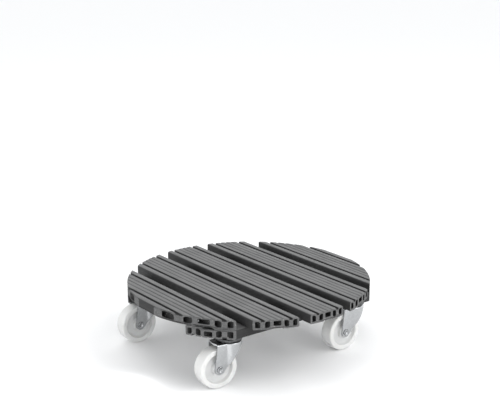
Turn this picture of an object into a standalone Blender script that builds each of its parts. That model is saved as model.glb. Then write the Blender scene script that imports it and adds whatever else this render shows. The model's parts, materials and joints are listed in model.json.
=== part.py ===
"""Plant pot caddy: a round deck of five hollow boards on two cross beams, with four swivel casters.

The deck is centred on the Z axis and the wheels stand on z = 0. The boards run along X and the beams
along Y. Front is +X and left is -Y. Lengths are in metres.
"""
import math

import bmesh
import bpy
from mathutils import Euler, Matrix, Vector
from mathutils.geometry import tessellate_polygon

MM = 0.001
GAP = 0.3 * MM                      # clearance between pieces that rest on each other

# Deck
DECK_RADIUS = 190 * MM              # circle that trims every board and beam
BOARD_PITCH = 79 * MM               # board to board, centre to centre
BEAM_OFFSET = 110 * MM              # beams and swivel axes, from the deck's centre along X
CASTER_SPREAD = 1.5 * BOARD_PITCH   # swivel axes sit in the gap beside each outer board
BEAM_BOTTOM = 78.2 * MM

# Hollow board section, across (from the centre line) and up (from its underside)
HALF_WIDTH = 30.6 * MM
THICKNESS = 14.6 * MM
TOP_ROUND = 2.6 * MM
BOTTOM_ROUND = 1.6 * MM
GROOVE_CENTRE = 18.6 * MM
GROOVE_WIDTH = 4.0 * MM
GROOVE_DEPTH = 3.0 * MM
RECESS_HALF = 8 * MM
RECESS_SLOPE = 1.2 * MM
RECESS_DEPTH = 1.4 * MM
OUTER_CHAMBER = (21.6 * MM, 27.8 * MM, 2.9 * MM, 12.3 * MM)
INNER_CHAMBER = (9.4 * MM, 15.8 * MM, 2.9 * MM, 12.3 * MM)
CENTRE_CHAMBER = (-5.1 * MM, 5.1 * MM, 5.2 * MM, 12.3 * MM)
CHAMBER_CUT = 2.2 * MM              # cut corners beside the grooves and the recess
CHAMBER_CORNER = 0.6 * MM

# Deck screws, driven up through the beams' grooves into the boards
SCREW_RADIUS = 1.75 * MM
SCREW_HEAD_RADIUS = 3.8 * MM
SCREW_HEAD_HEIGHT = 2.2 * MM
SCREW_HEAD_TAPER = 0.8              # head's face, as a share of its radius
SCREW_TIP = 103.0 * MM
SCREW_POINT = 3.0 * MM
DRILL_OVERRUN = 2 * MM              # how far a drill starts and ends outside a piece

# Casters
WHEEL_RADIUS = 30 * MM
TRAIL = 22.4 * MM                   # swivel axis to wheel axis
CASTER_TURN = {                     # resting turn of each caster about its swivel axis, in degrees
    "front_left": -6.0,
    "front_right": 0.0,
    "rear_left": -2.0,
    "rear_right": -3.0,
}
SHEET = 2.3 * MM                    # fork sheet thickness
LEG_OUTSIDE = 14.0 * MM             # fork leg's outer face, from the wheel's middle
HEAD_RADIUS = 18.3 * MM             # fork head and hood, outside
HEAD_CENTRE = 1.3 * MM              # centre of the round head, in front of the swivel axis
PLATE_TOP = 68.3 * MM
LEG_REAR = -26.0 * MM               # trailing edge of the legs at the plate
REAR_BULGE = 2.2 * MM
BOSS_RADIUS = 8.0 * MM              # rounded lower end of each leg
HOOD_LIP = 63.0 * MM                # lower edge of the hood at its foremost point
HOOD_RISE = math.radians(52.85)     # slope of the fork's lower edge, from the boss up to the lip
HOOD_SEGMENTS = 14
BOSS_STEPS = 6
PLATE_HOLE_RADIUS = 7.0 * MM
PIN_HOLE_RADIUS = 4.3 * MM          # hole for an axle, or for an M8 bolt
BALL_COUNT = 8
BALL_RADIUS = 2.0 * MM
BALL_RING = 13.0 * MM
BALL_HEIGHT = 70.6 * MM
ON_WHEEL_AXIS = ("axle", "bush", "wheel")
SIDEWAYS = Matrix.Rotation(math.radians(90), 4, "Y")
TURNS = {"wheel": 28, "race": 20, "ring": 16, "pin": 12, "screw": 8}

# Turned outlines as (radius, height) in millimetres
WHEEL_HALF = ((6.0, 11.2), (9.5, 11.2), (10.3, 5.6), (21.2, 5.0), (22.6, 10.5), (28.8, 10.5), (30.0, 8.6))
AXLE_HALF = ((0.0, 13.7), (1.6, 14.0), (3.9, 15.9), (4.7, 15.9), (5.3, 15.2), (5.3, 14.3), (4.0, 14.3))
BUSH_HALF = ((4.3, 11.4), (5.7, 11.4))
KINGPIN = ((4.3, 63.2), (10.5, 63.2), (10.5, 65.7), (5.9, 65.7), (5.9, 74.7), (11.0, 74.7), (11.0, 77.9),
           (4.3, 77.9))
UPPER_RACE = ((6.2, 72.9), (18.6, 72.9), (18.6, 70.0), (20.0, 70.0), (20.0, 73.8), (19.4, 74.4), (6.2, 74.4))
DUST_RING = ((11.3, 74.7), (17.5, 74.7), (17.5, 77.7), (11.3, 77.7))
BALL_CAGE = ((11.8, 70.1), (14.2, 70.1), (14.2, 71.1), (11.8, 71.1))
BOLT = ((0.0, 57.6), (7.5, 57.6), (7.5, 62.9), (4.0, 62.9), (4.0, 94.3), (0.0, 94.3))
BOLT_HEX = (1, 2)                   # outline points that follow the hexagon
TEE_NUT = ((4.3, 84.1), (5.0, 84.1), (5.0, 93.1), (8.4, 93.1), (8.4, 94.6), (4.3, 94.6))
TEE_NUT_HOLE = 5.3 * MM

SHARP_EDGE = math.radians(35)       # edges that bend more than this stay sharp
FORK_SHARP_EDGE = math.radians(30)


def clear_scene():
    for item in list(bpy.data.objects):
        bpy.data.objects.remove(item, do_unlink=True)


def material(name, colour, roughness, metallic):
    made = bpy.data.materials.new(name)
    made.use_nodes = True
    shader = made.node_tree.nodes["Principled BSDF"]
    shader.inputs["Base Color"].default_value = (*colour, 1.0)
    shader.inputs["Roughness"].default_value = roughness
    shader.inputs["Metallic"].default_value = metallic
    return made


def mesh_from(name, shape, sharp_edge=SHARP_EDGE):
    """Turn a bmesh into a mesh whose faces point outwards."""
    bmesh.ops.recalc_face_normals(shape, faces=shape.faces)
    mesh = bpy.data.meshes.new(name)
    shape.to_mesh(mesh)
    shape.free()
    mesh.shade_smooth()
    mesh.set_sharp_from_angle(angle=sharp_edge)
    return mesh


def add_object(name, mesh, paint, parent=None):
    item = bpy.data.objects.new(name, mesh)
    if not mesh.materials:
        mesh.materials.append(paint)
    bpy.context.scene.collection.objects.link(item)
    item.parent = parent
    return item


def add_empty(name, location, turn=0.0, parent=None):
    item = bpy.data.objects.new(name, None)
    item.location = location
    item.rotation_euler = Euler((0, 0, turn))
    item.parent = parent
    bpy.context.scene.collection.objects.link(item)
    return item


def combine(item, guide, operation):
    modifier = item.modifiers.new(guide.name, "BOOLEAN")
    modifier.operation = operation
    modifier.solver = "EXACT"
    modifier.object = guide


def add_guide(name, shape, parent=None):
    """Shape that only cuts or joins another piece."""
    item = bpy.data.objects.new(name, mesh_from(name, shape))
    item.hide_render = True
    item.display_type = "WIRE"
    item.parent = parent
    bpy.context.scene.collection.objects.link(item)
    return item


# Turned and prismatic shapes


def turn(shape, outline, segments, place=Matrix(), hexagon=()):
    """Revolve a closed (radius, height) outline about Z and add it to the bmesh.

    An outline of a solid piece starts and ends on the axis, at radius 0. With 12 segments, the outline
    points whose numbers are in hexagon follow a hexagon, corner first.
    """
    flat = math.cos(math.radians(30))
    poles = {k: shape.verts.new(place @ Vector((0, 0, z))) for k, (r, z) in enumerate(outline) if r == 0}
    rings = []
    for step in range(segments):
        angle = math.tau * step / segments
        ring = []
        for k, (r, z) in enumerate(outline):
            if k in hexagon and step % 2:
                r *= flat
            point = Vector((r * math.cos(angle), r * math.sin(angle), z))
            ring.append(poles[k] if k in poles else shape.verts.new(place @ point))
        rings.append(ring)
    count = len(outline)
    for step in range(segments):
        here = rings[step]
        there = rings[(step + 1) % segments]
        for k in range(count):
            after = (k + 1) % count
            corners = list(dict.fromkeys((here[k], here[after], there[after], there[k])))
            if len(corners) > 2:
                shape.faces.new(corners)


def post(shape, radius, bottom, top, segments, x=0.0, y=0.0):
    """Add a closed upright prism to the bmesh."""
    bmesh.ops.create_cone(
        shape,
        cap_ends=True,
        segments=segments,
        radius1=radius,
        radius2=radius,
        depth=top - bottom,
        matrix=Matrix.Translation((x, y, (top + bottom) / 2)),
    )


def in_metres(outline):
    return [(r * MM, z * MM) for r, z in outline]


def mirrored(half):
    """Complete a turned outline that is symmetric about its middle plane."""
    return in_metres(half) + [(r * MM, -z * MM) for r, z in reversed(half)]


def turned_mesh(name, outline, segments, place=Matrix(), hexagon=()):
    shape = bmesh.new()
    turn(shape, outline, segments, place, hexagon)
    return mesh_from(name, shape)


# Deck

def arc(centre, radius, start, end, steps):
    """Points of a circular arc, with angles in degrees."""
    points = []
    for step in range(steps + 1):
        angle = math.radians(start + (end - start) * step / steps)
        points.append((centre[0] + radius * math.cos(angle), centre[1] + radius * math.sin(angle)))
    return points


def right_outline():
    """Right half of the board section, from the recess round to the top between the grooves."""
    groove_out = GROOVE_CENTRE + GROOVE_WIDTH / 2
    groove_in = GROOVE_CENTRE - GROOVE_WIDTH / 2
    lower = (HALF_WIDTH - BOTTOM_ROUND, BOTTOM_ROUND)
    upper = (HALF_WIDTH - TOP_ROUND, THICKNESS - TOP_ROUND)
    return (
        [(RECESS_HALF - RECESS_SLOPE, RECESS_DEPTH), (RECESS_HALF, 0.0)]
        + arc(lower, BOTTOM_ROUND, -90, 0, 2)
        + arc(upper, TOP_ROUND, 0, 90, 3)
        + [
            (groove_out, THICKNESS),
            (groove_out, THICKNESS - GROOVE_DEPTH),
            (groove_in, THICKNESS - GROOVE_DEPTH),
            (groove_in, THICKNESS),
            (groove_in / 2, THICKNESS),
        ]
    )


def chamber(bounds, cut_corners):
    """Chamber outline, anticlockwise, with larger cuts at the named corners."""
    left, right, low, high = bounds
    corners = (("low_left", left, low, 1, 1), ("low_right", right, low, -1, 1),
               ("high_right", right, high, -1, -1), ("high_left", left, high, 1, -1))
    points = []
    for name, x, y, inward_x, inward_y in corners:
        size = CHAMBER_CUT if name in cut_corners else CHAMBER_CORNER
        beside = (x + inward_x * size, y)
        along = (x, y + inward_y * size)
        points += [along, beside] if inward_x * inward_y > 0 else [beside, along]
    return points


def flipped(points):
    return [(-x, y) for x, y in reversed(points)]


def board_section():
    """Outer outline and chambers of the hollow board."""
    right = right_outline()
    outer = chamber(OUTER_CHAMBER, ("high_left",))
    inner = chamber(INNER_CHAMBER, ("high_right", "low_left"))
    centre = chamber(CENTRE_CHAMBER, ())
    middle = [(0.0, THICKNESS)]
    return [right + middle + flipped(right), outer, inner, centre, flipped(inner), flipped(outer)]


def trimmed_length(offset):
    """Half length of the deck's circle at a distance from its centre."""
    return math.sqrt(max(DECK_RADIUS ** 2 - offset ** 2, 0.0))


def profile_mesh(name, across, bottom, upside_down, along_y):
    """Hollow board at a distance across the deck, with its ends following the deck's circle."""
    loops = board_section()
    if upside_down:
        loops = [[(x, THICKNESS - y) for x, y in loop] for loop in loops]
    shape = bmesh.new()
    near = []
    far = []
    for x, y in (point for loop in loops for point in loop):
        place = across + x
        reach = trimmed_length(place)
        for end, ring in ((-reach, near), (reach, far)):
            corner = (place, end, bottom + y) if along_y else (end, place, bottom + y)
            ring.append(shape.verts.new(corner))
    first = 0
    for loop in loops:
        for k in range(len(loop)):
            here = first + k
            after = first + (k + 1) % len(loop)
            shape.faces.new((near[here], near[after], far[after], far[here]))
        first += len(loop)
    flat = [[Vector((x, y, 0)) for x, y in loop] for loop in loops]
    for triangle in tessellate_polygon(flat):
        shape.faces.new([near[k] for k in triangle])
        shape.faces.new([far[k] for k in triangle])
    return mesh_from(name, shape)


def board_places():
    names = ("left_outer", "left_inner", "centre", "right_inner", "right_outer")
    return {f"board_{name}": (k - 2) * BOARD_PITCH for k, name in enumerate(names)}


def screw_places():
    """One screw stands in the inner groove of each beam, under the middle of each board."""
    places = {}
    for end, x in (("front", BEAM_OFFSET - GROOVE_CENTRE), ("rear", GROOVE_CENTRE - BEAM_OFFSET)):
        for board, y in board_places().items():
            places[f"{board.replace('board', 'screw')}_{end}"] = (x, y)
    return places


def caster_places():
    return {
        "front_left": (BEAM_OFFSET, -CASTER_SPREAD),
        "front_right": (BEAM_OFFSET, CASTER_SPREAD),
        "rear_left": (-BEAM_OFFSET, -CASTER_SPREAD),
        "rear_right": (-BEAM_OFFSET, CASTER_SPREAD),
    }


def drill_shape(across, axis):
    """Holes in the board or beam that lies at a distance across the deck.

    Deck screws go through both. The casters' bolts and their tee nuts go through the beams only.
    """
    shape = bmesh.new()
    under = BEAM_BOTTOM - DRILL_OVERRUN
    over = BEAM_BOTTOM + THICKNESS + DRILL_OVERRUN
    for place in screw_places().values():
        if abs(place[axis] - across) < HALF_WIDTH:
            post(shape, SCREW_RADIUS + GAP, under, SCREW_TIP + GAP, TURNS["screw"], *place)
    for place in caster_places().values():
        if abs(place[axis] - across) < HALF_WIDTH:
            post(shape, TEE_NUT_HOLE, under, over, TURNS["pin"], *place)
    return shape


def screw_mesh():
    outline = [
        (0.0, SCREW_TIP),
        (SCREW_RADIUS, SCREW_TIP - SCREW_POINT),
        (SCREW_RADIUS, BEAM_BOTTOM - GAP),
        (SCREW_HEAD_RADIUS, BEAM_BOTTOM - GAP),
        (SCREW_HEAD_RADIUS * SCREW_HEAD_TAPER, BEAM_BOTTOM - GAP - SCREW_HEAD_HEIGHT),
        (0.0, BEAM_BOTTOM - GAP - SCREW_HEAD_HEIGHT),
    ]
    return turned_mesh("screw", outline, TURNS["screw"])


def add_deck(paints):
    board_bottom = BEAM_BOTTOM + THICKNESS + GAP
    for name, across in board_places().items():
        mesh = profile_mesh(name, across, board_bottom, upside_down=False, along_y=False)
        drill = add_guide(f"{name}_drill", drill_shape(across, axis=1))
        combine(add_object(name, mesh, paints["board"]), drill, "DIFFERENCE")
    for name, across in (("cross_beam_front", BEAM_OFFSET), ("cross_beam_rear", -BEAM_OFFSET)):
        mesh = profile_mesh(name, across, BEAM_BOTTOM, upside_down=True, along_y=True)
        drill = add_guide(f"{name}_drill", drill_shape(across, axis=0))
        combine(add_object(name, mesh, paints["beam"]), drill, "DIFFERENCE")
    screw = screw_mesh()
    for name, (x, y) in screw_places().items():
        add_object(name, screw, paints["fastener"]).location = (x, y, 0)


# Casters, drawn about their own swivel axis with the wheel trailing towards -Y

def hood_edge(y):
    """Height of the fork's lower edge: a straight line that leaves the boss's round, up to the lip."""
    foot = WHEEL_RADIUS - BOSS_RADIUS / math.cos(HOOD_RISE)
    return min(foot + (y + TRAIL) * math.tan(HOOD_RISE), HOOD_LIP)


def wall(inset):
    """One surface of the fork wall: legs' top rear corners, hood columns and boss arcs."""
    leg = LEG_OUTSIDE - inset
    radius = HEAD_RADIUS - inset
    start = -math.acos(leg / radius)
    sweep = math.pi - 2 * start
    hood = []
    for step in range(HOOD_SEGMENTS + 1):
        angle = start + sweep * step / HOOD_SEGMENTS
        x = radius * math.cos(angle)
        y = HEAD_CENTRE + radius * math.sin(angle)
        hood.append((x, y, hood_edge(y)))
    boss = arc((-TRAIL, WHEEL_RADIUS), BOSS_RADIUS, 180, 270 + math.degrees(HOOD_RISE), BOSS_STEPS)
    return leg, hood, boss


def wall_verts(shape, inset, top):
    leg, hood, boss = wall(inset)
    return {
        "rear_top": [shape.verts.new((side * leg, LEG_REAR, top)) for side in (1, -1)],
        "rear_mid": shape.verts.new((0, LEG_REAR - REAR_BULGE, top)),
        "hood_top": [shape.verts.new((x, y, top)) for x, y, z in hood],
        "hood_low": [shape.verts.new((x, y, z)) for x, y, z in hood],
        "boss": [[shape.verts.new((side * leg, y, z)) for y, z in boss] for side in (1, -1)],
    }


def fork_mesh():
    """Pressed sheet fork: flat legs, a round head, and a hood that wraps round the front."""
    shape = bmesh.new()
    outer = wall_verts(shape, 0.0, PLATE_TOP)
    inner = wall_verts(shape, SHEET, PLATE_TOP - SHEET)
    for skin in (outer, inner):
        top = skin["hood_top"]
        low = skin["hood_low"]
        shape.faces.new([skin["rear_top"][0], *top, skin["rear_top"][1], skin["rear_mid"]])
        for k in range(HOOD_SEGMENTS):
            shape.faces.new((top[k], top[k + 1], low[k + 1], low[k]))
        for side, end in ((0, 0), (1, -1)):
            shape.faces.new([skin["rear_top"][side], top[end], low[end], *reversed(skin["boss"][side])])
    for k in range(HOOD_SEGMENTS):
        edge = (outer["hood_low"][k], outer["hood_low"][k + 1])
        shape.faces.new((*edge, inner["hood_low"][k + 1], inner["hood_low"][k]))
    for side, end in ((0, 0), (1, -1)):
        out_line = [outer["rear_top"][side], *outer["boss"][side], outer["hood_low"][end]]
        in_line = [inner["rear_top"][side], *inner["boss"][side], inner["hood_low"][end]]
        for k in range(len(out_line) - 1):
            shape.faces.new((out_line[k], out_line[k + 1], in_line[k + 1], in_line[k]))
        rear_edge = (outer["rear_mid"], outer["rear_top"][side])
        shape.faces.new((*rear_edge, inner["rear_top"][side], inner["rear_mid"]))
    bmesh.ops.triangulate(shape, faces=shape.faces)
    return mesh_from("fork", shape, FORK_SHARP_EDGE)


def fork_drill_shape():
    shape = bmesh.new()
    post(shape, PLATE_HOLE_RADIUS, PLATE_TOP - 2 * SHEET, PLATE_TOP + SHEET, TURNS["pin"])
    across = Matrix.Translation((0, -TRAIL, WHEEL_RADIUS)) @ SIDEWAYS
    bmesh.ops.create_cone(
        shape,
        cap_ends=True,
        segments=TURNS["pin"],
        radius1=PIN_HOLE_RADIUS,
        radius2=PIN_HOLE_RADIUS,
        depth=3 * LEG_OUTSIDE,
        matrix=across,
    )
    return shape


def balls_shape():
    shape = bmesh.new()
    for k in range(BALL_COUNT):
        angle = math.tau * (k + 0.5) / BALL_COUNT
        place = Matrix.Translation((BALL_RING * math.cos(angle), BALL_RING * math.sin(angle), BALL_HEIGHT))
        bmesh.ops.create_icosphere(shape, subdivisions=1, radius=BALL_RADIUS, matrix=place)
    return shape


def caster_meshes():
    """Meshes that the four casters share: (piece, mesh, paint)."""
    return (
        ("mount_bolt", turned_mesh("bolt", in_metres(BOLT), TURNS["pin"], hexagon=BOLT_HEX), "fastener"),
        ("mount_nut", turned_mesh("tee_nut", in_metres(TEE_NUT), TURNS["pin"]), "fastener"),
        ("upper_race", turned_mesh("upper_race", in_metres(UPPER_RACE), TURNS["race"]), "race"),
        ("kingpin", turned_mesh("kingpin", in_metres(KINGPIN), TURNS["ring"]), "race"),
        ("dust_ring", turned_mesh("dust_ring", in_metres(DUST_RING), TURNS["ring"]), "seal"),
        ("ball_cage", turned_mesh("ball_cage", in_metres(BALL_CAGE), TURNS["ring"]), "ball"),
        ("fork", fork_mesh(), "fork"),
        ("axle", turned_mesh("axle", mirrored(AXLE_HALF), TURNS["pin"], SIDEWAYS), "axle"),
        ("bush", turned_mesh("bush", mirrored(BUSH_HALF), TURNS["pin"], SIDEWAYS), "bush"),
        ("wheel", turned_mesh("wheel", mirrored(WHEEL_HALF), TURNS["wheel"], SIDEWAYS), "wheel"),
    )


def add_casters(paints):
    meshes = caster_meshes()
    for corner, (x, y) in caster_places().items():
        turned = math.radians(CASTER_TURN[corner])
        swivel = add_empty(f"swivel_axis_{corner}", (x, y, 0), turned)
        hub = add_empty(f"wheel_axis_{corner}", (0, -TRAIL, WHEEL_RADIUS), parent=swivel)
        for piece, mesh, paint in meshes:
            parent = hub if piece in ON_WHEEL_AXIS else swivel
            item = add_object(f"{piece}_{corner}", mesh, paints[paint], parent)
            if piece == "fork":
                combine(item, add_guide(f"fork_drill_{corner}", fork_drill_shape(), swivel), "DIFFERENCE")
            if piece == "ball_cage":
                combine(item, add_guide(f"balls_{corner}", balls_shape(), swivel), "UNION")


def main():
    clear_scene()
    paints = {
        "board": material("board", (0.21, 0.21, 0.22), 0.75, 0.0),
        "beam": material("beam", (0.17, 0.17, 0.18), 0.75, 0.0),
        "fastener": material("fastener", (0.60, 0.61, 0.63), 0.35, 1.0),
        "race": material("race", (0.62, 0.63, 0.66), 0.28, 1.0),
        "ball": material("ball", (0.70, 0.70, 0.72), 0.15, 1.0),
        "seal": material("seal", (0.02, 0.02, 0.02), 0.6, 0.0),
        "fork": material("fork", (0.60, 0.63, 0.66), 0.35, 1.0),
        "axle": material("axle", (0.66, 0.67, 0.68), 0.25, 1.0),
        "bush": material("bush", (0.35, 0.35, 0.36), 0.4, 1.0),
        "wheel": material("wheel", (0.86, 0.86, 0.85), 0.4, 0.0),
    }
    add_deck(paints)
    add_casters(paints)


main()
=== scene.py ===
"""Looks of the plant pot caddy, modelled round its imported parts.

Every plain solid is replaced by a finely modelled piece. Lengths are in metres. The boards run along X
and the cross beams along Y. Casters are drawn about their swivel axis, with the wheel trailing towards -Y.
"""
import json
import math

import bmesh
import bpy
from mathutils import Matrix, Vector
from mathutils.geometry import tessellate_polygon

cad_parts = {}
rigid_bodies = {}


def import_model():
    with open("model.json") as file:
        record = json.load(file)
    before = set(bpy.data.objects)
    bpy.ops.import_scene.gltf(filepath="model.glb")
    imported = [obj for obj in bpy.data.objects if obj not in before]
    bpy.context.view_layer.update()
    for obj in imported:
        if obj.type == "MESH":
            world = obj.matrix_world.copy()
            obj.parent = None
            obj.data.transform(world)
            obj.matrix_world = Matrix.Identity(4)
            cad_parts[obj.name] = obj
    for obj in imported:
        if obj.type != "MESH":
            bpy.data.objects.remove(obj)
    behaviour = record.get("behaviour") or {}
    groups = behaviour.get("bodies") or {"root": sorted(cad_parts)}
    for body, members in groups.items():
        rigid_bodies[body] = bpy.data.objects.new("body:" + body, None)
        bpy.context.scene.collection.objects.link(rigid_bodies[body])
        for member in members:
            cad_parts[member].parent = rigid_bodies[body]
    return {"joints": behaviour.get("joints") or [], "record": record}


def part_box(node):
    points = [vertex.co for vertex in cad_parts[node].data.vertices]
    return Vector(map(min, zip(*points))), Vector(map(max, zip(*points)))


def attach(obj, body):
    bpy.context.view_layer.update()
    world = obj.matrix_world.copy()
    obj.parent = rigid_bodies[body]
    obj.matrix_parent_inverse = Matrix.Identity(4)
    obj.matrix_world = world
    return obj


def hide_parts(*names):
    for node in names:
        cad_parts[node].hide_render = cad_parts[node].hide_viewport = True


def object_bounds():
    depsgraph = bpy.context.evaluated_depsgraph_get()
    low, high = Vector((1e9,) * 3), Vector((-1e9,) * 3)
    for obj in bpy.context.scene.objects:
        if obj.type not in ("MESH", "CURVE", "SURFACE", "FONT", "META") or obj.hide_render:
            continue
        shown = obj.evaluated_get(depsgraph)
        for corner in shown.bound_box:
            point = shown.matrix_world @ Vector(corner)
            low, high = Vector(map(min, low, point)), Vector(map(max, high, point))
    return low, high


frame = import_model()
cad_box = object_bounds()

MM = 0.001
CORNERS = ("front_left", "front_right", "rear_left", "rear_right")
WELD = 0.0005 * MM                  # vertices closer than this are one
SLACK = 0.01 * MM                   # tolerance for finding points on a line

# Hollow board section, from its centre line and its underside
HALF_WIDTH = 30.6 * MM
THICKNESS = 14.6 * MM
TOP_ROUND = 2.6 * MM
BOTTOM_ROUND = 1.6 * MM
GROOVE_OUT = 21.0 * MM
GROOVE_IN = 16.2 * MM
GROOVE_DEPTH = 3.0 * MM
GROOVE_ROUND = 0.6 * MM
LIP_ROUND = 0.9 * MM
RECESS_HALF = 8.0 * MM
RECESS_SLOPE = 1.2 * MM
RECESS_DEPTH = 1.4 * MM
RECESS_ROUND = 0.5 * MM
RECESS_LIP_ROUND = 0.6 * MM
RIB_COUNT = 4
RIB_DEPTH = 0.75 * MM
RIB_SHARPNESS = 5                   # higher makes the valleys between the ribs narrower
RIB_STEPS = 10                      # points along one rib
OUTER_CHAMBER = (21.6 * MM, 27.8 * MM, 2.9 * MM, 12.3 * MM)     # left, right, low, high
INNER_CHAMBER = (9.4 * MM, 15.8 * MM, 2.9 * MM, 12.3 * MM)
CENTRE_CHAMBER = (-5.1 * MM, 5.1 * MM, 5.2 * MM, 12.3 * MM)
CHAMBER_ROUND = 1.2 * MM
CHAMBER_CUT = 3.0 * MM              # wide rounds beside the grooves and the recess
EDGE_BREAK = 0.25 * MM              # worn edge of the sawn ends
OUTLINE_STEP = 1.6 * MM             # longest step along the section's outline
SKIN_SLOT, SAWN_SLOT, CHAMBER_SLOT = range(3)

# Casters
SHEET = 2.3 * MM
LEG_OUTSIDE = 14.0 * MM             # from the middle to a leg's outer face
HEAD_RADIUS = 18.3 * MM
HEAD_CENTRE = 1.3 * MM              # the round head's centre, in front of the swivel axis
PLATE_TOP = 68.3 * MM
PLATE_BEND = 2.8 * MM
BEND_FOOT = PLATE_TOP - PLATE_BEND  # where the upright wall ends and the bend begins
CREASE_ROUND = 3.0 * MM
LEG_REAR = -26.0 * MM               # place of the legs' rear edge
REAR_BULGE = 2.2 * MM
TRAIL = 22.4 * MM                   # from the swivel axis back to the axle
WHEEL_RADIUS = 30 * MM
BOSS_RADIUS = 8.0 * MM
HOOD_LIP = 63.0 * MM                # height of the hood's lower edge in front
HOOD_RISE = math.radians(52.85)     # slope of the legs' front edge
HOOD_BLEND = 4.0 * MM               # softness of the turn between the two
PIN_HOLE = 4.3 * MM
PLATE_HOLE = 7.0 * MM
TRACK_RADIUS = 13.0 * MM
TRACK_WIDTH = 1.4 * MM
TRACK_DEPTH = 0.3 * MM
SHEET_EDGE = 0.4 * MM               # rounding of the sheet's cut edges

# Steps along the fork's curves
LEG_STEPS = 6
CREASE_STEPS = 6
HEAD_STEPS = 24
WALL_ROWS = 14
BOSS_STEPS = 30
HOLE_STEPS = 40
BEND_STEPS = 6
REAR_STEPS = 12
TRACK_RINGS = 12
TRACK_SEGMENTS = 72

BALL_COUNT = 8
BALL_RADIUS = 2.0 * MM
BALL_HEIGHT = 70.6 * MM

# Turned outlines as (radius, height, corner rounding) in millimetres
WHEEL_HALF = ((6.0, 11.2, 0.3), (9.6, 11.2, 0.8), (10.4, 5.5, 1.6), (21.0, 5.0, 1.8), (22.6, 10.5, 0.9),
              (29.6, 10.5, 1.8), (30.0, 6.0, 2.5))
RIVET_HALF = ((0.0, 13.7, 0), (1.3, 13.8, 0.6), (3.2, 15.4, 0.5), (4.3, 15.6, 0.6), (5.0, 14.9, 0.5),
              (5.0, 14.3, 0.15), (4.0, 14.3, 0.1))
BUSH_HALF = ((4.3, 11.4, 0.15), (5.7, 11.4, 0.2))
KINGPIN = ((4.3, 63.2, 0.2), (10.5, 63.2, 0.6), (10.5, 65.7, 0.5), (5.9, 65.7, 0.2), (5.9, 74.7, 0.2),
           (11.0, 74.7, 0.3), (11.0, 77.9, 0.4), (4.3, 77.9, 0.2))
UPPER_RACE = ((6.2, 72.9, 0.2), (15.6, 72.9, 0.6), (16.6, 72.6, 0.6), (18.6, 72.6, 1.0), (18.6, 70.0, 0.4),
              (20.0, 70.0, 0.5), (20.0, 74.4, 2.2), (6.2, 74.4, 0.2))
DUST_RING = ((11.3, 74.7, 0.2), (17.5, 74.7, 0.4), (17.5, 75.9, 0.2), (17.0, 76.2, 0.2), (17.5, 76.5, 0.2),
             (17.5, 77.7, 0.4), (11.3, 77.7, 0.2))
TEE_NUT = ((4.3, 84.1, 0.2), (5.0, 84.1, 0.25), (5.0, 93.1, 0.1), (8.4, 93.1, 0.3), (8.4, 94.6, 0.7),
           (4.3, 94.6, 0.4))
BALL_CAGE = ((11.8, 70.1, 0.1), (14.2, 70.1, 0.1), (14.2, 71.1, 0.1), (11.8, 71.1, 0.1))


# Outlines

MOST_OF_SIDE = 0.48
NEARLY_STRAIGHT = math.radians(88)


def in_metres(outline):
    """The outline's millimetres as metres."""
    return [tuple(value * MM for value in point) for point in outline]


def mirrored(half):
    """Complete an outline that is symmetric about height 0."""
    return in_metres(half) + [(r * MM, -z * MM, c * MM) for r, z, c in reversed(half)]


def rounded(corners, steps=4):
    """Closed outline of (x, y) points from corners given as (x, y, rounding radius).

    A rounding takes at most MOST_OF_SIDE of the shorter side beside it. A nearly straight corner gets none.
    """
    points = []
    count = len(corners)
    for k, (x, y, radius) in enumerate(corners):
        corner = Vector((x, y))
        before = Vector(corners[k - 1][:2]) - corner
        after = Vector(corners[(k + 1) % count][:2]) - corner
        room = MOST_OF_SIDE * min(before.length, after.length)
        before.normalize()
        after.normalize()
        half = before.angle(after) / 2
        if radius == 0 or half > NEARLY_STRAIGHT:
            points.append((x, y))
            continue
        reach = min(radius / math.tan(half), room)
        radius = reach * math.tan(half)
        centre = corner + (before + after).normalized() * (radius / math.sin(half))
        start = corner + before * reach - centre
        turned = start.angle_signed(corner + after * reach - centre)
        for step in range(steps + 1):
            spoke = start.copy()
            spoke.rotate(Matrix.Rotation(-turned * step / steps, 2))
            points.append(tuple(centre + spoke))
    return points


def subdivided(points, longest):
    """The closed outline with no step longer than the given length."""
    fine = []
    for k, point in enumerate(points):
        here = Vector(point)
        step = Vector(points[(k + 1) % len(points)]) - here
        parts = max(1, math.ceil(step.length / longest))
        fine += [tuple(here + step * part / parts) for part in range(parts)]
    return fine


def offset(points, distance):
    """An anticlockwise outline moved inwards by a distance, or outwards by a negative one."""
    moved = []
    count = len(points)
    for k, point in enumerate(points):
        here = Vector(point)
        before = (here - Vector(points[k - 1])).normalized()
        after = (Vector(points[(k + 1) % count]) - here).normalized()
        along = (before + after).normalized()
        inward = Vector((-along.y, along.x))
        moved.append(tuple(here + inward * distance))
    return moved


def flipped(points):
    """The outline mirrored left to right, still anticlockwise."""
    return [(-point[0], *point[1:]) for point in reversed(points)]


# Meshes

def finished_mesh(name, shape, smooth_angle=38):
    """Weld a shape and turn it into a mesh, smooth but for edges sharper than the angle in degrees."""
    bmesh.ops.remove_doubles(shape, verts=shape.verts, dist=WELD)
    bmesh.ops.recalc_face_normals(shape, faces=shape.faces)
    mesh = bpy.data.meshes.new(name)
    shape.to_mesh(mesh)
    shape.free()
    mesh.shade_smooth()
    mesh.set_sharp_from_angle(angle=math.radians(smooth_angle))
    return mesh


def turn(shape, outline, segments, closed=True):
    """Revolve an outline about Z. outline(angle) gives its (radius, height) points at an angle."""
    rings = []
    for step in range(segments):
        angle = math.tau * step / segments
        x, y = math.cos(angle), math.sin(angle)
        rings.append([shape.verts.new((r * x, r * y, z)) for r, z in outline(angle)])
    count = len(rings[0])
    for step in range(segments):
        here = rings[step]
        there = rings[(step + 1) % segments]
        for k in range(count if closed else count - 1):
            after = (k + 1) % count
            shape.faces.new((here[k], here[after], there[after], there[k]))


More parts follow.
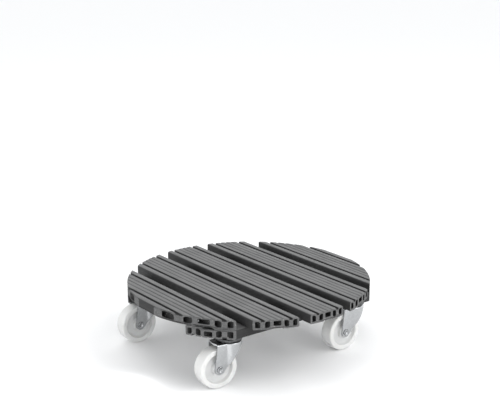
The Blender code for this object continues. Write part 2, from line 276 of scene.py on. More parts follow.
def turned_mesh(name, corners, segments, steps=4, closed=True):
    """Turned piece whose outline is the same all round."""
    points = rounded(corners, steps)
    shape = bmesh.new()
    turn(shape, lambda angle: points, segments, closed=closed)
    return finished_mesh(name, shape)


def fill(shape, loops, flat):
    """Fill the area between the first loop of vertices and the others. flat() gives a vertex's 2-D place."""
    verts = [vert for loop in loops for vert in loop]
    outlines = [[Vector((*flat(vert.co), 0)) for vert in loop] for loop in loops]
    for triangle in tessellate_polygon(outlines):
        corners = [verts[k] for k in triangle]
        if len(set(corners)) == 3:
            shape.faces.new(corners)


# Deck boards

def board_corners():
    """Right half of the section, from the recess round to the groove nearest the middle."""
    return [
        (RECESS_HALF - RECESS_SLOPE, RECESS_DEPTH, RECESS_ROUND),
        (RECESS_HALF, 0.0, RECESS_LIP_ROUND),
        (HALF_WIDTH, 0.0, BOTTOM_ROUND),
        (HALF_WIDTH, THICKNESS, TOP_ROUND),
        (GROOVE_OUT, THICKNESS, LIP_ROUND),
        (GROOVE_OUT, THICKNESS - GROOVE_DEPTH, GROOVE_ROUND),
        (GROOVE_IN, THICKNESS - GROOVE_DEPTH, GROOVE_ROUND),
        (GROOVE_IN, THICKNESS, LIP_ROUND),
    ]


def rib_points():
    """Ribbed top between the grooves, from right to left, as corners without rounding."""
    pitch = 2 * GROOVE_IN / RIB_COUNT
    reach = pitch * (RIB_COUNT - 1) / 2
    steps = RIB_STEPS * (RIB_COUNT - 1)
    points = []
    for step in range(steps + 1):
        x = reach - 2 * reach * step / steps
        wave = 0.5 - 0.5 * math.cos(math.tau * (x / pitch + RIB_COUNT / 2 + 0.5))
        points.append((x, THICKNESS - RIB_DEPTH * wave ** RIB_SHARPNESS, 0))
    return points


def chamber(bounds, cut_corners):
    """Anticlockwise corners of a chamber, with wide rounds at the named corners."""
    left, right, low, high = bounds
    corners = (("low_left", left, low), ("low_right", right, low), ("high_right", right, high),
               ("high_left", left, high))
    return [(x, y, CHAMBER_CUT if name in cut_corners else CHAMBER_ROUND) for name, x, y in corners]


def board_section():
    """Outer outline and chambers of the hollow board."""
    right = board_corners()
    skin = rounded([*right, *rib_points(), *flipped(right)], 5)
    outer = chamber(OUTER_CHAMBER, ("high_left",))
    inner = chamber(INNER_CHAMBER, ("high_right", "low_left"))
    centre = chamber(CENTRE_CHAMBER, ())
    chambers = [outer, inner, centre, flipped(inner), flipped(outer)]
    return [subdivided(loop, OUTLINE_STEP) for loop in [skin, *(rounded(corners) for corners in chambers)]]


def board_mesh(name, across):
    """Hollow board, drawn along X about its own centre line, trimmed to the deck's circle."""
    deck_radius = cad_box[1].x
    shape = bmesh.new()
    front_cap = []
    rear_cap = []
    for number, loop in enumerate(board_section()):
        broken = offset(loop, EDGE_BREAK if number == 0 else -EDGE_BREAK)
        # Outline, how far inside the deck's circle it lies, and at which end
        stations = [(broken, 0.0, -1), (loop, EDGE_BREAK, -1), (loop, EDGE_BREAK, 1), (broken, 0.0, 1)]
        rings = []
        for outline, back, end in stations:
            ring = []
            for y, z in outline:
                reach = math.sqrt((deck_radius - back) ** 2 - (across + y) ** 2)
                ring.append(shape.verts.new((end * reach, y, z)))
            rings.append(ring)
        rear_cap.append(rings[0])
        front_cap.append(rings[-1])
        along = CHAMBER_SLOT if number else SKIN_SLOT
        for near, far, paint in zip(rings, rings[1:], (SAWN_SLOT, along, SAWN_SLOT)):
            for here in range(len(loop)):
                after = (here + 1) % len(loop)
                face = shape.faces.new((near[here], near[after], far[after], far[here]))
                face.material_index = paint
    for cap in (front_cap, rear_cap):
        before = len(shape.faces)
        fill(shape, cap, lambda place: (place.y, place.z))
        shape.faces.ensure_lookup_table()
        for face in shape.faces[before:]:
            face.material_index = SAWN_SLOT
    return finished_mesh(name, shape)


# Casters

def hood_edge(y):
    """Height of the fork's lower edge: a straight line off the boss's round, blended into the lip."""
    line = WHEEL_RADIUS - BOSS_RADIUS / math.cos(HOOD_RISE) + (y + TRAIL) * math.tan(HOOD_RISE)
    share = min(max(0.5 + (HOOD_LIP - line) / (2 * HOOD_BLEND), 0.0), 1.0)
    return HOOD_LIP + (line - HOOD_LIP) * share - HOOD_BLEND * share * (1 - share)


def direction(angle):
    """Unit vector at an angle."""
    return Vector((math.cos(angle), math.sin(angle)))


def crease_place():
    """Where the flat leg ends: its distance along the caster."""
    return HEAD_CENTRE - math.sqrt((HEAD_RADIUS + CREASE_ROUND) ** 2 - (LEG_OUTSIDE + CREASE_ROUND) ** 2)


def fork_columns():
    """Plan of the wall's outer face from the right leg's rear edge round to the left: (place, outward)."""
    y = crease_place()
    columns = []
    for k in range(LEG_STEPS):
        columns.append((Vector((LEG_OUTSIDE, LEG_REAR + (y - LEG_REAR) * k / LEG_STEPS)), Vector((1, 0))))
    centre = Vector((LEG_OUTSIDE + CREASE_ROUND, y))
    inward = math.atan2(HEAD_CENTRE - centre.y, -centre.x)
    for k in range(CREASE_STEPS + 1):
        spoke = direction(math.pi + (inward - math.pi) * k / CREASE_STEPS)
        columns.append((centre + spoke * CREASE_ROUND, -spoke))
    start = inward - math.pi
    for k in range(1, HEAD_STEPS + 1):
        spoke = direction(start + (math.pi / 2 - start) * k / HEAD_STEPS)
        columns.append((Vector((0, HEAD_CENTRE)) + spoke * HEAD_RADIUS, spoke))
    left = [(Vector((-p.x, p.y)), Vector((-n.x, n.y))) for p, n in reversed(columns[:-1])]
    return columns + left


def wall_height(y, row):
    """Height of a row of the hood's wall, from its lower edge to the foot of the bend."""
    low = hood_edge(y)
    return low + (BEND_FOOT - low) * row / WALL_ROWS


def add_sheet(shape, columns):
    """Faces between neighbouring columns of vertices."""
    for here, there in zip(columns, columns[1:]):
        for row in range(len(here) - 1):
            shape.faces.new((here[row], there[row], there[row + 1], here[row + 1]))


def fork_leg(shape, side, crease, top):
    """Flat leg with a round lower end and an axle hole, inside the given edge vertices."""
    centre = Vector((-TRAIL, WHEEL_RADIUS))
    x = side * LEG_OUTSIDE
    corner = Vector((LEG_REAR, BEND_FOOT)) - centre
    tangent = math.atan2(corner.y, corner.x) + math.acos(BOSS_RADIUS / corner.length)
    last = 1.5 * math.pi + HOOD_RISE
    arc = []
    for k in range(BOSS_STEPS + 1):
        place = centre + BOSS_RADIUS * direction(tangent + (last - tangent) * k / BOSS_STEPS)
        arc.append(shape.verts.new((x, *place)))
    hole = []
    for k in range(HOLE_STEPS):
        place = centre + PIN_HOLE * direction(math.tau * k / HOLE_STEPS)
        hole.append(shape.verts.new((x, *place)))
    fill(shape, [[*arc, *crease, *top], hole], lambda place: (place.y, place.z))


def plate_height(radius):
    """The head's top face, with the shallow track that the balls run in."""
    across = (radius - TRACK_RADIUS) / TRACK_WIDTH
    return PLATE_TOP - TRACK_DEPTH * max(0.0, 1 - across * across) ** 2


def fork_skin():
    """Outer face of the fork's hood and of the bend above it. Returns the shape and its plan."""
    shape = bmesh.new()
    columns = fork_columns()
    y = crease_place()
    hood = []
    for place, outward in columns:
        if place.y > y - SLACK:
            heights = [wall_height(place.y, row) for row in range(WALL_ROWS + 1)]
            hood.append([shape.verts.new((*place, height)) for height in heights])
    add_sheet(shape, hood)
    bend = []
    for place, outward in columns:
        line = []
        for k in range(BEND_STEPS + 1):
            angle = math.pi / 2 * k / BEND_STEPS
            spot = place - outward * PLATE_BEND * (1 - math.cos(angle))
            line.append(shape.verts.new((*spot, PLATE_TOP - PLATE_BEND * (1 - math.sin(angle)))))
        bend.append(line)
    add_sheet(shape, bend)
    bmesh.ops.remove_doubles(shape, verts=shape.verts, dist=WELD)
    return shape, columns


def at(shape, place):
    """The vertex of the shape nearest to a place."""
    return min(shape.verts, key=lambda vert: (vert.co - Vector(place)).length_squared)


def fork_head(shape, columns):
    """Flat top of the fork, out to the bend's rim and the bulged rear edge, with its track and its hole."""
    rim = [at(shape, (*(place - outward * PLATE_BEND), PLATE_TOP)) for place, outward in columns]
    rear = []
    reach = LEG_OUTSIDE - PLATE_BEND
    for k in range(1, REAR_STEPS):
        x = -reach + 2 * reach * k / REAR_STEPS
        rear.append(shape.verts.new((x, LEG_REAR - REAR_BULGE * (1 - (x / reach) ** 2), PLATE_TOP)))
    radii = [TRACK_RADIUS + TRACK_WIDTH * (1 - 2 * k / TRACK_RINGS) for k in range(TRACK_RINGS + 1)]
    rings = []
    for radius in [*radii, PLATE_HOLE]:
        ring = []
        for k in range(TRACK_SEGMENTS):
            place = radius * direction(math.tau * k / TRACK_SEGMENTS)
            ring.append(shape.verts.new((*place, plate_height(radius))))
        rings.append(ring)
    for outer, inner in zip(rings, rings[1:]):
        for k in range(TRACK_SEGMENTS):
            after = (k + 1) % TRACK_SEGMENTS
            shape.faces.new((outer[k], outer[after], inner[after], inner[k]))
    fill(shape, [[*rim, *rear], rings[0]], lambda place: (place.x, place.y))


def fork_mesh():
    """Pressed fork: the hood and the bend, two flat legs, and the round head."""
    shape, columns = fork_skin()
    y = crease_place()
    for side in (1, -1):
        crease = [at(shape, (side * LEG_OUTSIDE, y, wall_height(y, row))) for row in range(WALL_ROWS)]
        leg = [place for place, outward in columns
               if place.y < y + SLACK and abs(place.x - side * LEG_OUTSIDE) < SLACK]
        leg.sort(key=lambda place: -place.y)
        top = [at(shape, (*place, BEND_FOOT)) for place in leg]
        fork_leg(shape, side, crease, top)
    fork_head(shape, columns)
    return solid_sheet("fork", shape)


def solid_sheet(name, shape):
    """Thicken an outer skin to the sheet's gauge, inwards, and break its edges."""
    draft = bpy.data.objects.new(f"{name}_draft", finished_mesh(f"{name}_draft", shape))
    bpy.context.scene.collection.objects.link(draft)
    solid = draft.modifiers.new("gauge", "SOLIDIFY")
    solid.thickness = SHEET
    solid.offset = -1
    solid.use_even_offset = True
    bevel = draft.modifiers.new("edges", "BEVEL")
    bevel.width = SHEET_EDGE
    bevel.segments = 3
    bevel.limit_method = "ANGLE"
    bevel.angle_limit = math.radians(50)
    graph = bpy.context.evaluated_depsgraph_get()
    mesh = bpy.data.meshes.new_from_object(draft.evaluated_get(graph))
    bpy.data.objects.remove(draft)
    mesh.name = name
    mesh.shade_smooth()
    mesh.set_sharp_from_angle(angle=math.radians(40))
    return mesh


def ball_cage_mesh():
    """Flat ring with the balls in it, as one piece."""
    points = rounded(in_metres(BALL_CAGE), 2)
    shape = bmesh.new()
    turn(shape, lambda angle: points, segments=64)
    for k in range(BALL_COUNT):
        angle = math.tau * (k + 0.5) / BALL_COUNT
        centre = (TRACK_RADIUS * math.cos(angle), TRACK_RADIUS * math.sin(angle), BALL_HEIGHT)
        place = Matrix.Translation(centre)
        bmesh.ops.create_icosphere(shape, subdivisions=3, radius=BALL_RADIUS, matrix=place)
    return finished_mesh("ball_cage", shape)


# Fasteners

HEX_HALF = 6.5 * MM                 # half the width across flats of the M8 head
HEX_FLAT = 0.95 * HEX_HALF          # the head's flat middle, inside its chamfer
HEX_CHAMFER = math.radians(30)
HEX_FOOT = 0.4 * MM                 # the hexagon ends this far below the shoulder
BOLT_FOOT = 57.6 * MM
BOLT_SHOULDER = 62.9 * MM
BOLT_TOP = 94.3 * MM
BOLT_RADIUS = 4.0 * MM
THREAD_START = 84 * MM
THREAD_PITCH = 1.25 * MM
THREAD_DEPTH = 0.7 * MM
THREAD_SHARPNESS = 1.2              # higher makes the valleys narrower
POINTS_A_TURN = 8
SCREW_SHOULDER = 77.9 * MM
SCREW_TIP = 103.0 * MM
SCREW_RADIUS = 1.75 * MM
SCREW_PITCH = 1.8 * MM
SCREW_THREAD = 0.5 * MM
SCREW_POINT = 3.0 * MM              # length of the tapered tip
SCREW_STEPS = 80
PAN_RADIUS = 3.8 * MM
PAN_HEIGHT = 2.2 * MM
PAN_FLAT = 2.2 * MM                 # radius of the pan head's flat middle
PAN_RISE = 1.5 * MM
PAN_CHAMFER = 0.2 * MM
PAN_STEPS = 6
LOBE_COUNT = 6
LOBE_RADIUS = 1.45 * MM
LOBE_SWING = 0.3 * MM
LOBE_DEPTH = 1.2 * MM
LOBE_CHAMFER = 0.1 * MM
TURN_BETWEEN_SCREWS = math.radians(37)

# Turned parts of the bolt's head as (radius, height) in millimetres
BOLT_DIMPLE = ((0.0, 0.35), (3.6, 0.35), (4.0, 0.0))
BOLT_WASHER = ((6.37, -0.35), (6.305, 0.0))


def hexagon(angle):
    """Radius of the hexagon in a direction, with a corner at angle 0."""
    from_corner = (angle + math.pi / 6) % (math.pi / 3) - math.pi / 6
    return HEX_HALF / math.cos(math.pi / 6 - abs(from_corner))


def thread(angle, z, radius, pitch, depth):
    """Radius of a screw thread at an angle and a height."""
    phase = (z / pitch - angle / math.tau) % 1.0
    return radius - depth * (1 - abs(2 * phase - 1)) ** THREAD_SHARPNESS


def bolt_mesh():
    """Hexagon bolt with its head below, plain up to the thread at its upper end."""
    steps = round((BOLT_TOP - THREAD_START) / THREAD_PITCH * POINTS_A_TURN)

    def outline(angle):
        corner = hexagon(angle)
        points = [(r, BOLT_FOOT + z) for r, z in in_metres(BOLT_DIMPLE)]
        points += [(HEX_FLAT, BOLT_FOOT), (corner, BOLT_FOOT + (corner - HEX_FLAT) * math.tan(HEX_CHAMFER))]
        points += [(corner, BOLT_SHOULDER - HEX_FOOT)]
        points += [(r, BOLT_SHOULDER + z) for r, z in in_metres(BOLT_WASHER)]
        points += [(BOLT_RADIUS, BOLT_SHOULDER), (BOLT_RADIUS, THREAD_START)]
        for k in range(1, steps):
            z = THREAD_START + (BOLT_TOP - THREAD_START) * k / steps
            runout = min(1.0, (z - THREAD_START) / THREAD_PITCH)
            groove = BOLT_RADIUS - thread(angle, z, BOLT_RADIUS, THREAD_PITCH, THREAD_DEPTH)
            chamfer = max(0.0, THREAD_DEPTH - (BOLT_TOP - z))
            points.append((BOLT_RADIUS - max(groove * runout, chamfer), z))
        return points + [(BOLT_RADIUS - THREAD_DEPTH, BOLT_TOP), (0, BOLT_TOP)]

    shape = bmesh.new()
    turn(shape, outline, segments=48, closed=False)
    return finished_mesh("bolt", shape, smooth_angle=25)


def screw_mesh():
    """Pan head screw with a six-lobed recess. Its head is below and its point above."""
    foot = SCREW_SHOULDER - PAN_HEIGHT

    def outline(angle):
        lobe = LOBE_RADIUS + LOBE_SWING * math.cos(LOBE_COUNT * angle)
        points = [(0, foot + LOBE_DEPTH + LOBE_CHAMFER), (lobe, foot + LOBE_DEPTH),
                  (lobe, foot + LOBE_CHAMFER), (lobe + 1.2 * LOBE_CHAMFER, foot)]
        for k in range(PAN_STEPS + 1):
            tilt = math.pi / 2 * k / PAN_STEPS
            points.append((PAN_FLAT + (PAN_RADIUS - PAN_FLAT) * math.sin(tilt),
                           foot + PAN_RISE * (1 - math.cos(tilt))))
        points += [(PAN_RADIUS, SCREW_SHOULDER - PAN_CHAMFER), (PAN_RADIUS - PAN_CHAMFER, SCREW_SHOULDER)]
        points += [(SCREW_RADIUS, SCREW_SHOULDER)]
        for k in range(1, SCREW_STEPS):
            z = SCREW_SHOULDER + (SCREW_TIP - SCREW_SHOULDER) * k / SCREW_STEPS
            taper = min(1.0, (SCREW_TIP - z) / SCREW_POINT)
            points.append((thread(angle, z, SCREW_RADIUS, SCREW_PITCH, SCREW_THREAD) * taper, z))
        return points + [(0, SCREW_TIP)]

    shape = bmesh.new()
    turn(shape, outline, segments=36, closed=False)
    return finished_mesh("screw", shape, smooth_angle=30)


# Materials

BRUSHED_AND_VALLEY_SHADE_FROM = THICKNESS - 0.9 * MM  # height where the brushed top's pale tone begins; the rib valleys and grooves below it keep the dark skin as painted shade
BRUSHED_AND_VALLEY_SHADE_TO = THICKNESS - 0.1 * MM   # and where it is full
LIT_BACK_FROM = 0.1 * MM                # height where the back's painted light begins to fade
LIT_BACK_TO = 0.6 * MM                  # and where it is gone
RECESS_SHADE_RADIUS = 20.0 * MM              # where the painted shade on the wheel's recessed web begins to fade
RECESS_SHADE_EDGE = 22.8 * MM                # and where it is gone
FIBRE_RELIEF = 0.28 * MM
SAW_RELIEF = 0.22 * MM
STEEL_RELIEF = 0.05 * MM
NYLON_RELIEF = 0.06 * MM
RUBBER_RELIEF = 0.05 * MM


def add_node(tree, kind, inputs=None, **settings):
    """Add a shader node. Inputs are values or the sockets that feed them."""
    made = tree.nodes.new(f"ShaderNode{kind}")
    for name, value in settings.items():
        setattr(made, name, value)
    for name, value in (inputs or {}).items():
        if isinstance(value, bpy.types.NodeSocket):
            tree.links.new(value, made.inputs[name])
        else:
            made.inputs[name].default_value = value
    return made


def new_paint(name, **uniform):
    """A Principled material with values that are the same all over. Returns it, its tree and its shader."""
    made = bpy.data.materials.new(name)
    made.use_nodes = True
    shader = made.node_tree.nodes["Principled BSDF"]
    for socket, value in uniform.items():
        shader.inputs[socket.replace("_", " ")].default_value = value
    return made, made.node_tree, shader


def piece_place(tree):
    """Coordinates fixed to the piece."""
    return add_node(tree, "TexCoord").outputs["Object"]


def vector_maths(tree, operation, first, second):
    return add_node(tree, "VectorMath", {0: first, 1: second}, operation=operation).outputs[0]


def local_place(tree, stretch=(1, 1, 1)):
    """Coordinates fixed to the piece, shifted for each piece so that no two look alike."""
    place = piece_place(tree)
    own = add_node(tree, "ObjectInfo").outputs["Random"]
    shift = vector_maths(tree, "MULTIPLY", own, (7.0, 3.0, 5.0))
    moved = vector_maths(tree, "ADD", place, shift)
    return vector_maths(tree, "MULTIPLY", moved, stretch)


def noise(tree, place, scale, detail, roughness):
    inputs = {"Vector": place, "Scale": scale, "Detail": detail, "Roughness": roughness}
    return add_node(tree, "TexNoise", inputs).outputs[0]


def remap(tree, value, low, high, to_low=0.0, to_high=1.0):
    """The value carried linearly from one range to another, and held at its ends."""
    inputs = {"Value": value, "From Min": low, "From Max": high, "To Min": to_low, "To Max": to_high}
    return add_node(tree, "MapRange", inputs).outputs[0]


def combine(tree, operation, first, second):
    return add_node(tree, "Math", {0: first, 1: second}, operation=operation).outputs[0]


def weighted(tree, first, share, second):
    """Sum of two values, the first with its share and the second with the rest."""
    main = combine(tree, "MULTIPLY", first, share)
    rest = combine(tree, "MULTIPLY", second, 1 - share)
    return combine(tree, "ADD", main, rest)


def blend_colours(tree, share, first, second):
    """The first colour, and the second where the share is 1."""
    made = add_node(tree, "Mix", data_type="RGBA")
    # A Mix node has sockets for every data type: 6 and 7 are the colours, and output 2 is the mixed one.
    for socket, value in ((0, share), (6, first), (7, second)):
        if isinstance(value, bpy.types.NodeSocket):
            tree.links.new(value, made.inputs[socket])
        else:
            made.inputs[socket].default_value = value
    return made.outputs[2]


def grey(level, warmth=0.0):
    """A grey, redder for a positive warmth and bluer for a negative one."""
    return (level * (1 + warmth), level, level * (1 - warmth), 1.0)


def relief(tree, shader, height, distance, strength):
    """Bump the shader's surface by a height. The distance is the relief at height 1."""
    made = add_node(tree, "Bump", {"Height": height, "Distance": distance, "Strength": strength})
    tree.links.new(made.outputs[0], shader.inputs["Normal"])


def composite_paint(name, skin, crest, back):
    """Wood-plastic composite: a dark extruded skin, a pale brushed fibrous top with painted shade in the
    grooves, a back painted light.
    """
    made, tree, shader = new_paint(name, Specular_IOR_Level=0.3)
    link = tree.links.new
    fibres = noise(tree, local_place(tree, (40, 1500, 1500)), 1.0, 4.0, 0.6)
    streaks = noise(tree, local_place(tree, (5, 420, 420)), 1.0, 2.0, 0.5)
    blotches = noise(tree, local_place(tree), 24.0, 3.0, 0.6)
    flecks = noise(tree, local_place(tree, (500, 2300, 2300)), 1.0, 1.0, 0.5)
    tone = remap(tree, weighted(tree, fibres, 0.5, streaks), 0.36, 0.64)
    dark = blend_colours(tree, tone, grey(skin * 0.8), grey(skin * 1.25))
    pale = blend_colours(tree, tone, grey(crest * 0.8), grey(crest * 1.2))
    height = add_node(tree, "SeparateXYZ", {0: piece_place(tree)}).outputs[2]
    # The pale brushed tone holds only near the crests, so the rib valleys and grooves stay dark as painted
    # shade.
    brushed_and_valley_shade = remap(tree, height, BRUSHED_AND_VALLEY_SHADE_FROM, BRUSHED_AND_VALLEY_SHADE_TO)
    # The back's tone is painted light: on the upturned beams this face looks up to the lamps and is made
    # lighter.
    lit_back = blend_colours(tree, tone, grey(back * 0.8), grey(back * 1.2))
    colour = blend_colours(tree, remap(tree, height, LIT_BACK_FROM, LIT_BACK_TO), lit_back, dark)
    colour = blend_colours(tree, brushed_and_valley_shade, colour, pale)
    colour = blend_colours(tree, remap(tree, blotches, 0.35, 0.75, 0.0, 0.22), colour, dark)
    flecked = combine(tree, "MULTIPLY", remap(tree, flecks, 0.70, 0.76, 0.0, 0.45), brushed_and_valley_shade)
    colour = blend_colours(tree, flecked, colour, grey(crest * 2.2, 0.03))
    link(colour, shader.inputs["Base Color"])
    link(remap(tree, fibres, 0.3, 0.7, 0.56, 0.78), shader.inputs["Roughness"])
    relief(tree, shader, fibres, FIBRE_RELIEF, 0.5)
    return made


def sawn_paint(name, dark, light):
    """Sawn end of the composite: speckled, with the saw's marks."""
    made, tree, shader = new_paint(name, Specular_IOR_Level=0.3)
    link = tree.links.new
    speckle = noise(tree, local_place(tree), 1500.0, 3.0, 0.7)
    chips = noise(tree, local_place(tree), 420.0, 2.0, 0.5)
    marks = noise(tree, local_place(tree, (220, 220, 3200)), 1.0, 2.0, 0.5)
    tone = remap(tree, weighted(tree, speckle, 0.6, chips), 0.36, 0.64)
    colour = blend_colours(tree, tone, grey(dark), grey(light))
    colour = blend_colours(tree, remap(tree, chips, 0.66, 0.74, 0.0, 0.5), colour, grey(0.45, 0.03))
    link(colour, shader.inputs["Base Color"])
    link(remap(tree, speckle, 0.3, 0.7, 0.7, 0.92), shader.inputs["Roughness"])
    relief(tree, shader, combine(tree, "ADD", speckle, marks), SAW_RELIEF, 0.6)
    return made


def zinc_paint(name, dark, light, low, high, tint=0.018):
    """Plated or bare steel, softly mottled, with rolling grain and fine scratches, rough from low to high."""
    made, tree, shader = new_paint(name, Metallic=1.0)
    link = tree.links.new
    clouds = noise(tree, local_place(tree), 260.0, 4.0, 0.55)
    rolled = noise(tree, local_place(tree, (500, 500, 30)), 1.0, 3.0, 0.6)
    scratches = noise(tree, local_place(tree, (90, 2600, 700)), 1.0, 2.0, 0.5)
    colour = blend_colours(tree, remap(tree, clouds, 0.3, 0.7), grey(dark, -tint), grey(light, -tint))
    link(colour, shader.inputs["Base Color"])
    rough = weighted(tree, clouds, 0.6, rolled)
    link(remap(tree, rough, 0.3, 0.7, low, high), shader.inputs["Roughness"])
    lines = remap(tree, scratches, 0.62, 0.72)
    grain_height = combine(tree, "SUBTRACT", rolled, combine(tree, "MULTIPLY", lines, 0.5))
    relief(tree, shader, combine(tree, "ADD", grain_height, clouds), STEEL_RELIEF, 0.35)
    return made


def nylon_paint(name):
    """Milky moulded nylon with a faint flow pattern and scuffs, with painted shade on the recessed web and at
    grazing angles.
    """
    made, tree, shader = new_paint(name, Subsurface_Weight=0.3, Subsurface_Scale=4 * MM,
                                   Subsurface_Radius=(1.0, 0.95, 0.85), Specular_IOR_Level=0.45)
    link = tree.links.new
    flow = noise(tree, local_place(tree), 55.0, 4.0, 0.55)
    pores = noise(tree, local_place(tree), 2400.0, 2.0, 0.5)
    scuffs = noise(tree, local_place(tree, (1900, 1900, 160)), 1.0, 3.0, 0.6)
    milk = ((0.60, 0.60, 0.59, 1), (0.65, 0.65, 0.64, 1))
    colour = blend_colours(tree, remap(tree, flow, 0.3, 0.7), *milk)
    colour = blend_colours(tree, remap(tree, scuffs, 0.66, 0.78, 0.0, 0.25), colour, (0.50, 0.50, 0.49, 1))
    across = vector_maths(tree, "MULTIPLY", piece_place(tree), (1, 1, 0))
    radius = add_node(tree, "VectorMath", {0: across}, operation="LENGTH").outputs["Value"]
    # Painted shade: the recessed web inside the rim is greyed, where the rim shades it.
    recess_shade = remap(tree, radius, RECESS_SHADE_RADIUS, RECESS_SHADE_EDGE, 0.3, 0.0)
    colour = blend_colours(tree, recess_shade, colour, (0.42, 0.43, 0.44, 1))
    # Painted shade: the colour greys towards grazing angles, a dark outline round the wheel's edges.
    rim = add_node(tree, "LayerWeight", {"Blend": 0.25}).outputs["Facing"]
    colour = blend_colours(tree, remap(tree, rim, 0.3, 1.0, 0.0, 0.7), colour, (0.42, 0.42, 0.43, 1))
    link(colour, shader.inputs["Base Color"])
    link(remap(tree, combine(tree, "ADD", flow, pores), 0.7, 1.3, 0.34, 0.5), shader.inputs["Roughness"])
    relief(tree, shader, combine(tree, "ADD", pores, flow), NYLON_RELIEF, 0.35)
    return made


def rubber_paint(name):
    """Dull black rubber."""
    made, tree, shader = new_paint(name, Specular_IOR_Level=0.4)
    mottle = noise(tree, local_place(tree), 700.0, 3.0, 0.6)
    colour = blend_colours(tree, remap(tree, mottle, 0.3, 0.7), grey(0.012), grey(0.035))
    tree.links.new(colour, shader.inputs["Base Color"])
    tree.links.new(remap(tree, mottle, 0.3, 0.7, 0.5, 0.7), shader.inputs["Roughness"])
    relief(tree, shader, mottle, RUBBER_RELIEF, 0.5)
    return made


# Assembly

def make_meshes():
    """The pieces that come more than once, by kind."""
    return {
        "screw": screw_mesh(),
        "mount_bolt": bolt_mesh(),
        "mount_nut": turned_mesh("tee_nut", in_metres(TEE_NUT), segments=64),
        "upper_race": turned_mesh("upper_race", in_metres(UPPER_RACE), segments=96),
        "kingpin": turned_mesh("kingpin", in_metres(KINGPIN), segments=72),
        "dust_ring": turned_mesh("dust_ring", in_metres(DUST_RING), segments=72),
        "ball_cage": ball_cage_mesh(),
        "fork": fork_mesh(),
        "axle": turned_mesh("axle", mirrored(RIVET_HALF), segments=64, closed=False),
        "bush": turned_mesh("bush", mirrored(BUSH_HALF), segments=48),
        "wheel": turned_mesh("wheel", mirrored(WHEEL_HALF), segments=128, steps=6),
    }


def add_piece(node, mesh, paints, place):
    """Put a finished piece where its plain solid is, and let it ride on that solid's body."""
    piece = bpy.data.objects.new(f"{node}_finished", mesh)
    bpy.context.scene.collection.objects.link(piece)
    if not mesh.materials:
        for paint in paints:
            mesh.materials.append(paint)
    piece.matrix_world = place
    body = next(name for name, nodes in frame["record"]["behaviour"]["bodies"].items() if node in nodes)
    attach(piece, body)
    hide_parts(node)


def add_deck(meshes, paints):
    """Boards, their screws and the cross beams, placed by the frame's boxes."""
    skins = {
        "board": [paints["board"], paints["sawn"], paints["chamber"]],
        "beam": [paints["beam"], paints["sawn"], paints["chamber"]],
    }
    for side in ("left_outer", "left_inner", "centre", "right_inner", "right_outer"):
        node = f"board_{side}"
        low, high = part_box(node)
        across = (low.y + high.y) / 2
        mesh = board_mesh(node, across)
        add_piece(node, mesh, skins["board"], Matrix.Translation((0, across, low.z)))
        for end in ("front", "rear"):
            screw = f"screw_{side}_{end}"
            low_screw, high_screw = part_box(screw)
            middle = (low_screw + high_screw) / 2
            turned = Matrix.Rotation(TURN_BETWEEN_SCREWS * len(bpy.data.objects), 4, "Z")
            add_piece(screw, meshes["screw"], [paints["fastener"]],
                      Matrix.Translation((middle.x, middle.y, 0)) @ turned)
    upside_down = Matrix.Rotation(math.pi / 2, 4, "Z") @ Matrix.Rotation(math.pi, 4, "X")
    for end in ("front", "rear"):
        node = f"cross_beam_{end}"
        low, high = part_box(node)
        across = (low.x + high.x) / 2
        place = Matrix.Translation((across, 0, high.z)) @ upside_down
        add_piece(node, board_mesh(node, across), skins["beam"], place)


def joint_named(name):
    """The frame's row for a joint."""
    return next(joint for joint in frame["joints"] if joint["name"] == name)


def add_caster(corner, meshes, paints):
    """Ten pieces about the swivel axis, turned with the caster's resting direction."""
    swivel = joint_named(f"swivel_{corner}")["pos_m"]
    roll = joint_named(f"roll_{corner}")["axis"]
    resting = Matrix.Rotation(math.atan2(roll[1], roll[0]), 4, "Z")
    standing = Matrix.Translation((swivel[0], swivel[1], 0)) @ resting
    lying = standing @ Matrix.Translation((0, -TRAIL, WHEEL_RADIUS)) @ Matrix.Rotation(math.pi / 2, 4, "Y")
    rows = (
        ("mount_bolt", "fastener", standing),
        ("mount_nut", "fastener", standing),
        ("upper_race", "race", standing),
        ("kingpin", "race", standing),
        ("dust_ring", "seal", standing),
        ("ball_cage", "ball", standing),
        ("fork", "fork", standing),
        ("axle", "axle", lying),
        ("bush", "bush", lying),
        ("wheel", "wheel", lying),
    )
    for kind, slot, place in rows:
        add_piece(f"{kind}_{corner}", meshes[kind], [paints[slot]], place)


def make_paints():
    """One material for each slot, and two for a board's sawn ends and its chambers."""
    return {
        "board": composite_paint("brushed_composite", skin=0.022, crest=0.15, back=0.03),
        # The beams' copy paints light and shade: its upturned back lighter, as lit from above, and its
        # downturned brushed face darker.
        "beam": composite_paint("brushed_composite_beam_lit_and_shaded", skin=0.022, crest=0.13, back=0.09),
        "sawn": sawn_paint("sawn_composite", dark=0.077, light=0.14),
        "chamber": sawn_paint("extruded_chamber", dark=0.010, light=0.022),
        "fork": zinc_paint("zinc_sheet", dark=0.39, light=0.45, low=0.22, high=0.28),
        # Painted shade: the race's steel is made near black, standing in for the shade under the beam.
        "race": zinc_paint("race_steel_painted_shade", dark=0.06, light=0.11, low=0.24, high=0.38),
        "fastener": zinc_paint("zinc_fastener", dark=0.50, light=0.64, low=0.22, high=0.36),
        # Partly painted shade: the rivet's steel is darker than the fork's, standing in for the shadow gap
        # round its head.
        "axle": zinc_paint("rivet_steel_painted_shade", dark=0.28, light=0.38, low=0.18, high=0.30),
        "ball": zinc_paint("ball_steel", dark=0.66, light=0.74, low=0.08, high=0.16, tint=0),
        "bush": zinc_paint("bush_steel", dark=0.40, light=0.50, low=0.30, high=0.45, tint=0),
        "seal": rubber_paint("dust_ring_rubber"),
        "wheel": nylon_paint("milky_nylon"),
    }


# Studio

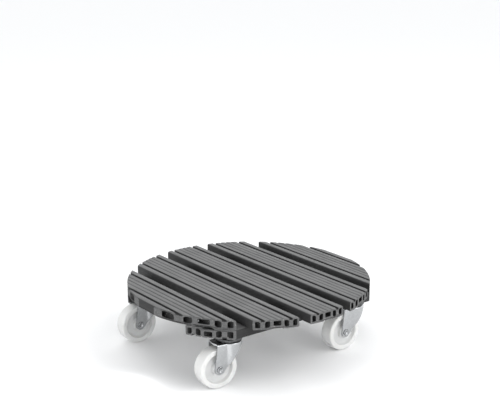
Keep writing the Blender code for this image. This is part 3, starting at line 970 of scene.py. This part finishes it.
CAMERA_PLACE = (1.2542, -0.9402, 0.6442)
CAMERA_AZIMUTH = 53.05
CAMERA_ELEVATION = 14.72
CAMERA_ROLL = -0.2
CAMERA_LENS = 75.55
FLOOR_RADIUS = 30.0
FLOOR_GREY = 0.92
WALL_GLOW = 2.3                     # brightness of the white surroundings, level with the caddy
CEILING_GLOW = 0.85
CEILING_RISE = 0.65                 # sine of the elevation from which the ceiling's brightness holds


def add_camera():
    """Camera at the photo's place and with its direction."""
    azimuth = math.radians(CAMERA_AZIMUTH)
    elevation = math.radians(CAMERA_ELEVATION)
    right = Vector((math.cos(azimuth), math.sin(azimuth), 0))
    back = Vector((math.sin(azimuth) * math.cos(elevation), -math.cos(azimuth) * math.cos(elevation),
                   math.sin(elevation)))
    pose = Matrix((right, back.cross(right), back)).transposed().to_4x4()
    camera = bpy.data.objects.new("camera", bpy.data.cameras.new("camera"))
    camera.data.lens = CAMERA_LENS
    camera.matrix_world = (Matrix.Translation(CAMERA_PLACE) @ pose
                           @ Matrix.Rotation(math.radians(CAMERA_ROLL), 4, "Z"))
    bpy.context.scene.collection.objects.link(camera)
    bpy.context.scene.camera = camera


def add_softbox(name, place, size, power):
    """Round soft lamp that faces the caddy."""
    lamp = bpy.data.lights.new(name, "AREA")
    lamp.shape = "DISK"
    lamp.size = size
    lamp.energy = power
    item = bpy.data.objects.new(name, lamp)
    item.location = place
    item.rotation_euler = (-Vector(place)).to_track_quat("-Z", "Y").to_euler()
    bpy.context.scene.collection.objects.link(item)


def add_floor_spot(name, place, spread, power):
    """A soft pool of light on the floor beside the caddy, which the bent steel mirrors."""
    lamp = bpy.data.lights.new(name, "SPOT")
    lamp.energy = power
    lamp.spot_size = math.radians(spread)
    lamp.spot_blend = 1.0
    lamp.shadow_soft_size = 0.02
    item = bpy.data.objects.new(name, lamp)
    item.location = place
    bpy.context.scene.collection.objects.link(item)


def add_studio():
    """White surroundings, a pale floor, soft lamps, and two pools of light on the floor."""
    world = bpy.data.worlds.new("studio")
    world.use_nodes = True
    tree = world.node_tree
    background = tree.nodes["Background"]
    background.inputs["Color"].default_value = (0.98, 0.99, 1.0, 1)
    outward = add_node(tree, "SeparateXYZ", {0: add_node(tree, "TexCoord").outputs["Generated"]})
    walls = remap(tree, outward.outputs[2], 0.0, CEILING_RISE, WALL_GLOW, CEILING_GLOW)
    tree.links.new(walls, background.inputs["Strength"])
    bpy.context.scene.world = world
    bpy.context.scene.view_settings.view_transform = "Standard"
    shape = bmesh.new()
    bmesh.ops.create_circle(shape, cap_ends=True, segments=96, radius=FLOOR_RADIUS)
    floor = bpy.data.objects.new("floor", finished_mesh("floor", shape))
    made, tree, shader = new_paint("floor", Roughness=0.9, Specular_IOR_Level=0.1)
    shader.inputs["Base Color"].default_value = grey(FLOOR_GREY)
    floor.data.materials.append(made)
    bpy.context.scene.collection.objects.link(floor)
    add_softbox("key", (1.7, 1.1, 2.2), size=1.6, power=22)
    add_softbox("front", (1.0, 0.15, 0.45), size=0.5, power=1.3)
    add_floor_spot("floor_front", (0.27, -0.25, 1.5), spread=9, power=90)
    add_floor_spot("floor_left", (0.04, -0.27, 1.5), spread=5.5, power=130)
    add_softbox("top", (-0.4, -0.3, 2.6), size=1.8, power=12)


all_meshes = make_meshes()
all_paints = make_paints()
add_deck(all_meshes, all_paints)
for corner_name in CORNERS:
    add_caster(corner_name, all_meshes, all_paints)
add_studio()
add_camera()
